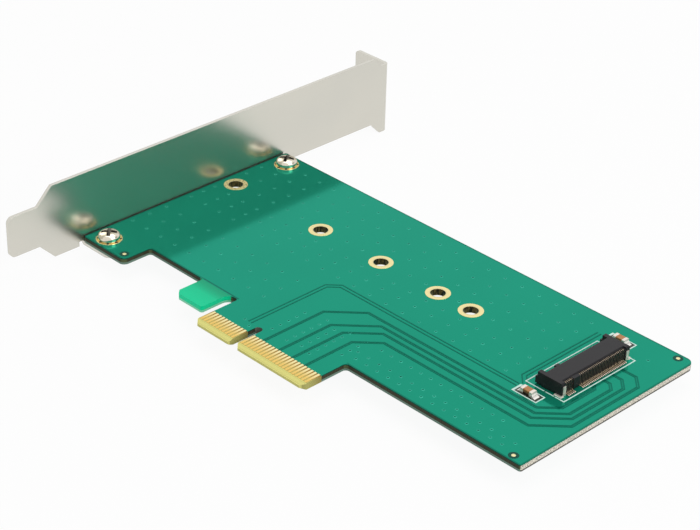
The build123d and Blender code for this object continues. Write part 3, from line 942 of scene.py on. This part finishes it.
class CARD_OT_fiducials(CardPiece, bpy.types.Operator):
    """Set the bare copper dots in their dark rings"""

    bl_idname = "adapter_card.fiducials"
    bl_label = "Fiducials"
    ring, ring_height = 1.15, 0.008   # the ring's radius, and its height over the board
    # A dot's radii and heights, from its middle out
    dot = ((ALMOST_NONE, 0.035), (0.42, 0.035), (0.46, 0.02), (0.46, 0))
    inset = (3.3, 1.6)            # from the far end and from the long edges
    leg_place = (-44.36, 6.5)     # of the one on the leg

    def build(self, scene):
        x = board.high.x - self.inset[0]
        places = [(x, LONG_EDGE + self.inset[1]), (x, board.high.y - self.inset[1]), self.leg_place]
        dots, rings = Shape(), Shape()
        high = TOP + self.ring_height
        for place in places:
            rings.lathe([(ALMOST_NONE, high), (self.ring, high), (self.ring, TOP)], place)
            dots.lathe([(radius, TOP + up) for radius, up in self.dot], place)
        dark = mottled_material("bare_ring", FIDUCIAL_RING, 5.0, Roughness=0.35, **LACQUER)
        rings.piece("fiducial_rings", dark, "solder_mask", smooth=40)
        pale = metal_material("fiducial_gold", PALE_GOLD_AND_HIGHLIGHT, 0.4, scuff=0.08, metallic=0.5)
        dots.piece("fiducial_dots", pale, "gold", smooth=40)


class CARD_OT_land_vias(CardPiece, bpy.types.Operator):
    """Ring each screw land with its eight small plated holes: gold rims round dark discs painted as
    their shade
    """

    bl_idname = "adapter_card.land_vias"
    bl_label = "Land vias"
    circle, radius, count = 2.64, 0.38, 8   # the circle that they stand on, then their own
    bore_height = 0.006
    rim = ((0, 0), (0, 0.03), (0.07, 0.02), (0.09, 0))   # past the radius, and up
    sides = 16

    def build(self, scene):
        bores, rims = Shape(), Shape()
        high = LAND_TOP + self.bore_height
        bore = [(ALMOST_NONE, high), (self.radius, high), (self.radius, LAND_TOP)]
        rim = [(self.radius + past, LAND_TOP + up) for past, up in self.rim]
        for land in screw_lands:
            for spot in around(land.middle, [self.circle] * self.count, LAND_TOP):
                bores.lathe(bore, spot, self.sides)
                rims.lathe(rim, spot, self.sides)
        # Painted shade: dark discs stand for the holes
        dark = mottled_material("via_bore_shade", BORE_SHADE, 4.0, Roughness=0.6)
        bores.piece("land_via_bores", dark, "gold", smooth=40)
        rims.piece("land_via_rims", bpy.data.materials["immersion_gold"], "gold", smooth=40)


class CARD_OT_screws(CardPiece, bpy.types.Operator):
    """Turn the two pan-head screws with their cross recess and thread"""

    bl_idname = "adapter_card.screws"
    bl_label = "Bracket screws"
    head_radius, head_height, head_edge = 2.6, 1.95, 0.8
    head_foot = 0.12              # chamfer under the head
    shoulder = 0.75               # power of the dome's cosine, smaller for a squarer head
    major, minor, pitch = 1.45, 1.22, 0.5   # the thread's radii and its rise for a turn
    rows_a_turn = 6
    tip_length, tip_inset = 0.3, 0.25       # of the pointed end
    slot_span, slot_width, slot_depth = 4.3, 0.9, 1.6
    slot_foot = 0.45              # the recess's span at its foot, as a share
    above = 0.2                   # how far the cutter stands over the head
    turns = (0.80, 0.55)          # how far each screw is turned
    crease = 35                   # degrees from which an edge stays sharp
    steps, sides = 8, 40          # facets up the dome, and round the screw

    def build(self, scene):
        metal = scene.card_metal
        nickel = metal_material(
            "screw_nickel", metal.screw, 0.14, fine=3.0, stretch=(1, 1, 5), scuff=0.08,
            rounding=0.05)
        shape = Shape()
        for land in screw_lands:
            self.head(shape, land.middle)
            self.thread(shape, land.middle)
        screw = shape.piece("pan_head_screws", nickel, "screw_nickel", replaces=("bracket_screws",))
        # Painted shade: the faces cut by the recess take a darker nickel
        shaded = metal_material(
            "screw_recess_shade", shade(metal.screw, 0.22), 0.3, fine=3.0, metallic=0.8)
        cutter = self.recess(shaded)
        cut = screw.modifiers.new("recess", "BOOLEAN")
        cut.object = cutter
        cut.operation = "DIFFERENCE"
        cut.solver = "EXACT"
        cut.material_mode = "TRANSFER"
        bpy.context.view_layer.update()
        shown = screw.evaluated_get(bpy.context.evaluated_depsgraph_get())
        cut_mesh = bpy.data.meshes.new_from_object(shown)
        screw.modifiers.clear()
        screw.data = cut_mesh
        bpy.data.objects.remove(cutter)
        screw.data.shade_smooth()
        screw.data.set_sharp_from_angle(angle=radians(self.crease))

    def head(self, shape, centre):
        """A domed pan head, closed underneath down to the shank."""
        rise = self.head_height - self.head_edge
        dome = []
        for i in range(self.steps + 1):
            turn = pi / 2 * i / self.steps
            radius = self.head_radius * cos(turn) ** self.shoulder + ALMOST_NONE / 2
            dome.append((radius, LAND_TOP + self.head_edge + rise * sin(turn)))
        skirt = [(self.minor, LAND_TOP), (self.head_radius - self.head_foot, LAND_TOP),
                 (self.head_radius, LAND_TOP + self.head_foot)]
        shape.lathe(skirt + dome, centre, self.sides)

    def thread(self, shape, centre):
        """A shank whose radius follows one spiral ridge, with a pointed run-out."""
        length = LAND_TOP - screws.low.z
        rows = int(length / self.pitch * self.rows_a_turn)
        rings = []
        for row in range(rows + 1):
            up = length * row / rows
            limit = self.major if up > self.tip_length else self.minor - self.tip_inset + up
            radii = []
            for i in range(self.sides):
                phase = (up / self.pitch + i / self.sides) % 1
                ridge = 1 - abs(2 * phase - 1)
                radii.append(min(self.minor + (self.major - self.minor) * ridge, limit))
            rings.append(around(centre, radii, screws.low.z + up))
        shape.skin(rings, closed=True)

    def recess(self, material):
        """The cutter for both recesses: a cross that narrows downwards."""
        shape = Shape()
        top = LAND_TOP + self.head_height
        for land, turn in zip(screw_lands, self.turns):
            turned = Matrix.Rotation(turn, 2)
            rings = []
            for z, share in ((top - self.slot_depth, self.slot_foot), (top + self.above, 1.0)):
                reach = self.slot_span / 2 * share
                half = self.slot_width / 2 * (0.5 + 0.5 * share)
                ring = []
                for quarter in range(4):
                    swung = turned @ Matrix.Rotation(quarter * pi / 2, 2)
                    for corner in ((reach, -half), (reach, half), (half, half)):
                        flat = swung @ Vector(corner)
                        ring.append((land.middle.x + flat.x, land.middle.y + flat.y, z))
                rings.append(ring)
            shape.solid(*rings)
        return shape.piece("recess_cutter", material, "screw_nickel")


class CARD_OT_bracket(CardPiece, bpy.types.Operator):
    """Finish the folded slot bracket"""

    bl_idname = "adapter_card.bracket"
    bl_label = "Slot bracket"

    def build(self, scene):
        dress("bracket", sheet_material(scene.card_metal))


class CARD_OT_socket(CardPiece, bpy.types.Operator):
    """Finish the moulded socket, and form its contacts with rounded bends and soldered feet"""

    bl_idname = "adapter_card.socket"
    bl_label = "Module socket"
    pitch, key_places = 0.5, (29, 30, 31, 32)
    rear_count, front_count = 38, 37   # places, with those that the key takes
    strip, blade = 0.16, 0.23     # thickness and width of a contact
    bend = 0.22                   # rounding of its middle line
    rear_foot, front_foot = 0.85, 0.9
    rear_dip = 0.44               # the sprung tip below the beam's other end
    front_beam = 0.79             # above the board
    tip_inset, tip_room = 0.12, 0.02   # of a sprung tip, inside its row's box
    # The middle lines of the sprung ends, along and up from the tip
    rear_spring = ((-0.15, 0.1), (0.05, 0), (0.9, 0.22))
    front_spring = ((0, 0), (0.1, -0.12))
    # The solder at a foot, past the toe and up from the board
    joint = ((-1.15, 0), (-1.15, 0.03), (-0.75, 0.09), (-0.05, 0.08), (0.03, 0.14), (0.3, 0.03),
             (0.3, 0))

    def build(self, scene):
        metal = scene.card_metal
        dress("socket_housing", resin_material(scene.card_socket))
        tin = metal_material(
            "tinned_contact", metal.tin, 0.36, fine=6.0, scuff=0.08, rounding=0.03, metallic=0.5)
        spring = spring_material(metal)
        solder = metal_material(
            "bright_solder", metal.solder, 0.24, fine=2.0, scuff=0.10, grain=0.02, metallic=0.4)
        foot_solder = metal_material(
            "foot_solder", metal.foot, 0.3, fine=2.0, scuff=0.10, metallic=0.4)
        for end in ("near", "far"):
            dress(f"hold_down_{end}", tin)
            dress(f"hold_down_pad_{end}", solder)
        self.contacts("rear_contacts", rear_row, self.rear_line(), self.rear_count, spring,
                      "socket_rear_contacts")
        self.contacts("front_contacts", front_row, self.front_line(), self.front_count, spring,
                      "socket_front_contacts")
        self.joints("rear_solder", rear_row, rear_row.high.x, 1, self.rear_count, foot_solder)
        self.joints("front_solder", front_row, front_row.low.x, -1, self.front_count, foot_solder)

    def places(self, row, count):
        """The y places of one row, from its far end, without those that the key takes."""
        first = row.high.y - self.blade / 2
        return [first - i * self.pitch for i in range(count) if i not in self.key_places]

    def rear_line(self):
        """A rear contact's middle line: sprung tip, beam, leg and foot."""
        foot = TOP + self.strip / 2
        beam = rear_row.high.z - self.strip / 2
        toe = rear_row.high.x
        leg = toe - self.rear_foot
        tip, low = rear_row.low.x + self.tip_inset, beam - self.rear_dip
        spring = [(tip + x, low + z) for x, z in self.rear_spring]
        return spring + [(leg, beam), (leg, foot), (toe, foot)]

    def front_line(self):
        """A front contact's middle line: foot, leg, beam and sprung tip."""
        foot = TOP + self.strip / 2
        beam = TOP + self.front_beam
        toe = front_row.low.x
        leg = toe + self.front_foot
        tip = front_row.high.x - self.tip_inset
        peak = front_row.high.z - self.strip / 2 - self.tip_room
        spring = [(tip + x, peak + z) for x, z in self.front_spring]
        return [(toe, foot), (leg, foot), (leg, beam)] + spring

    def contacts(self, name, row, line, count, material, node):
        """One row of identical contacts."""
        outline = cross_section(line, self.strip, self.bend)
        shape = Shape()
        for y in self.places(row, count):
            shape.side_prism(outline, y, self.blade)
        shape.piece(name, material, "tin", smooth=30, replaces=(node,))

    def joints(self, name, row, toe, way, count, material):
        """The pad and the solder's rise round each foot."""
        shape = Shape()
        outline = [(toe + way * x, TOP + z) for x, z in self.joint]
        for y in self.places(row, count):
            shape.side_prism(outline, y, self.blade)
        shape.piece(name, material, "solder", smooth=30)


class CARD_OT_capacitors(CardPiece, bpy.types.Operator):
    """Finish the two chip capacitors and their solder"""

    bl_idname = "adapter_card.capacitors"
    bl_label = "Capacitors"

    def build(self, scene):
        ceramic = ceramic_material(scene.card_socket)
        tin = bpy.data.materials["tinned_contact"]
        solder = bpy.data.materials["bright_solder"]
        for name in ("near", "far"):
            dress(f"capacitor_{name}_body", ceramic)
            for side in ("left", "right"):
                dress(f"capacitor_{name}_{side}_end", tin)
                dress(f"capacitor_{name}_{side}_joint", solder)


class CARD_OT_stage(CardPiece, bpy.types.Operator):
    """Set the floor, the lamps, the white surroundings and the camera"""

    bl_idname = "adapter_card.stage"
    bl_label = "Stage"
    # In metres: half the floor's side, each lamp's place and the side of its square, and the
    # flag's place and half its side
    floor_reach = 2.5
    key_lamp = ((0.95, 0.15, 0.7), 0.7)
    top_lamp = ((-0.05, 0.25, 1.1), 0.9)
    flag_place, flag_reach = (0.62, 0.70, 0.52), 0.21
    # The camera, fitted to the photograph: its place, where it looks, its right and its lens
    camera_place = (277.35, -241.57, 236.655)
    camera_ahead = (-0.6103, 0.6086, -0.5071)
    camera_right = (0.6955, 0.7181, 0.0247)
    lens, sensor = 105.26, 36.0

    def build(self, scene):
        look = scene.card_stage
        scene.view_settings.view_transform = "Standard"
        self.floor(scene, look)
        self.lamp(scene, "key_lamp", self.key_lamp, look.key_lamp)
        self.lamp(scene, "top_lamp", self.top_lamp, look.top_lamp)
        self.flag(scene, look)
        self.surroundings(scene, look)
        self.camera(scene)

    def sheet(self, name, reach, height, material):
        """A square sheet for the floor or the flag."""
        mesh = bpy.data.meshes.new(name)
        corners = ((-reach, -reach), (reach, -reach), (reach, reach), (-reach, reach))
        mesh.from_pydata([(x, y, height) for x, y in corners], [], [[0, 1, 2, 3]])
        mesh.materials.append(material)
        return bpy.data.objects.new(name, mesh)

    def aim(self, thing, place):
        """Sets a thing at its place, turned to the card."""
        thing.location = place
        thing.rotation_mode = "QUATERNION"
        thing.rotation_quaternion = Vector(place).to_track_quat("Z", "Y")

    def floor(self, scene, look):
        """A plain pale floor under the card's lowest point."""
        thing = self.sheet("floor", self.floor_reach, cad_box[0][2], floor_material(look))
        scene.collection.objects.link(thing)

    def lamp(self, scene, name, setting, watts):
        """A square area lamp that points at the card."""
        place, size = setting
        data = bpy.data.lights.new(name, "AREA")
        data.energy = watts
        data.size = size
        thing = bpy.data.objects.new(name, data)
        self.aim(thing, place)
        scene.collection.objects.link(thing)

    def flag(self, scene, look):
        """A grey card out of the picture, which darkens the board's mirror image in the bracket."""
        paper = mottled_material("flag_card", (look.flag, shade(look.flag, 1.5)), 0.02,
                                 Roughness=0.9, Specular_IOR_Level=0.0)
        thing = self.sheet("flag", self.flag_reach, 0, paper)
        self.aim(thing, self.flag_place)
        thing.visible_camera = False
        scene.collection.objects.link(thing)

    def surroundings(self, scene, look):
        """Even light, and white wherever the camera or a mirror sees past the floor."""
        world = bpy.data.worlds.new("surroundings")
        world.use_nodes = True
        scene.world = world
        nodes = Nodes(world.node_tree)
        back = nodes.tree.nodes["Background"]
        nodes.feed(back.inputs["Color"], (1, 1, 1))
        nodes.feed(back.inputs["Strength"], nodes.seen_white() * (1 - look.world) + look.world)

    def camera(self, scene):
        """The camera at the photograph's place and angle."""
        data = bpy.data.cameras.new("camera")
        data.lens = self.lens
        data.sensor_width = self.sensor
        ahead = Vector(self.camera_ahead).normalized()
        right = Vector(self.camera_right).normalized()
        up = right.cross(ahead).normalized()
        right = ahead.cross(up)
        turn = Matrix((right, up, -ahead)).transposed()
        thing = bpy.data.objects.new("camera", data)
        thing.matrix_world = Matrix.Translation(Vector(self.camera_place) * MM) @ turn.to_4x4()
        scene.collection.objects.link(thing)
        scene.camera = thing


class CARD_PT_panel(bpy.types.Panel):
    """Lists the card's pieces in the order they are built"""

    bl_idname = "CARD_PT_panel"
    bl_label = "Adapter Card"
    bl_space_type = "VIEW_3D"
    bl_region_type = "UI"
    bl_category = "Adapter Card"

    def draw(self, context):
        for operator in OPERATORS:
            self.layout.operator(operator.bl_idname)
        for group in GROUPS:
            box = self.layout.box()
            settings = getattr(context.scene, group)
            for name in settings.__annotations__:
                box.prop(settings, name)


GROUPS = {
    "card_board": BoardLook,
    "card_metal": MetalLook,
    "card_socket": SocketLook,
    "card_stage": StageLook,
}
OPERATORS = (
    CARD_OT_board, CARD_OT_printing, CARD_OT_vias, CARD_OT_fiducials, CARD_OT_land_vias,
    CARD_OT_screws, CARD_OT_bracket, CARD_OT_socket, CARD_OT_capacitors, CARD_OT_stage,
)


def register():
    for name, group in GROUPS.items():
        bpy.utils.register_class(group)
        setattr(bpy.types.Scene, name, PointerProperty(type=group))
    for each in OPERATORS + (CARD_PT_panel,):
        bpy.utils.register_class(each)


def unregister():
    for each in reversed(OPERATORS + (CARD_PT_panel,)):
        bpy.utils.unregister_class(each)
    for name, group in reversed(GROUPS.items()):
        delattr(bpy.types.Scene, name)
        bpy.utils.unregister_class(group)


def main():
    register()
    bpy.ops.adapter_card.board()
    bpy.ops.adapter_card.printing()
    bpy.ops.adapter_card.vias()
    bpy.ops.adapter_card.fiducials()
    bpy.ops.adapter_card.land_vias()
    bpy.ops.adapter_card.screws()
    bpy.ops.adapter_card.bracket()
    bpy.ops.adapter_card.socket()
    bpy.ops.adapter_card.capacitors()
    bpy.ops.adapter_card.stage()


if __name__ == "__main__":
    main()
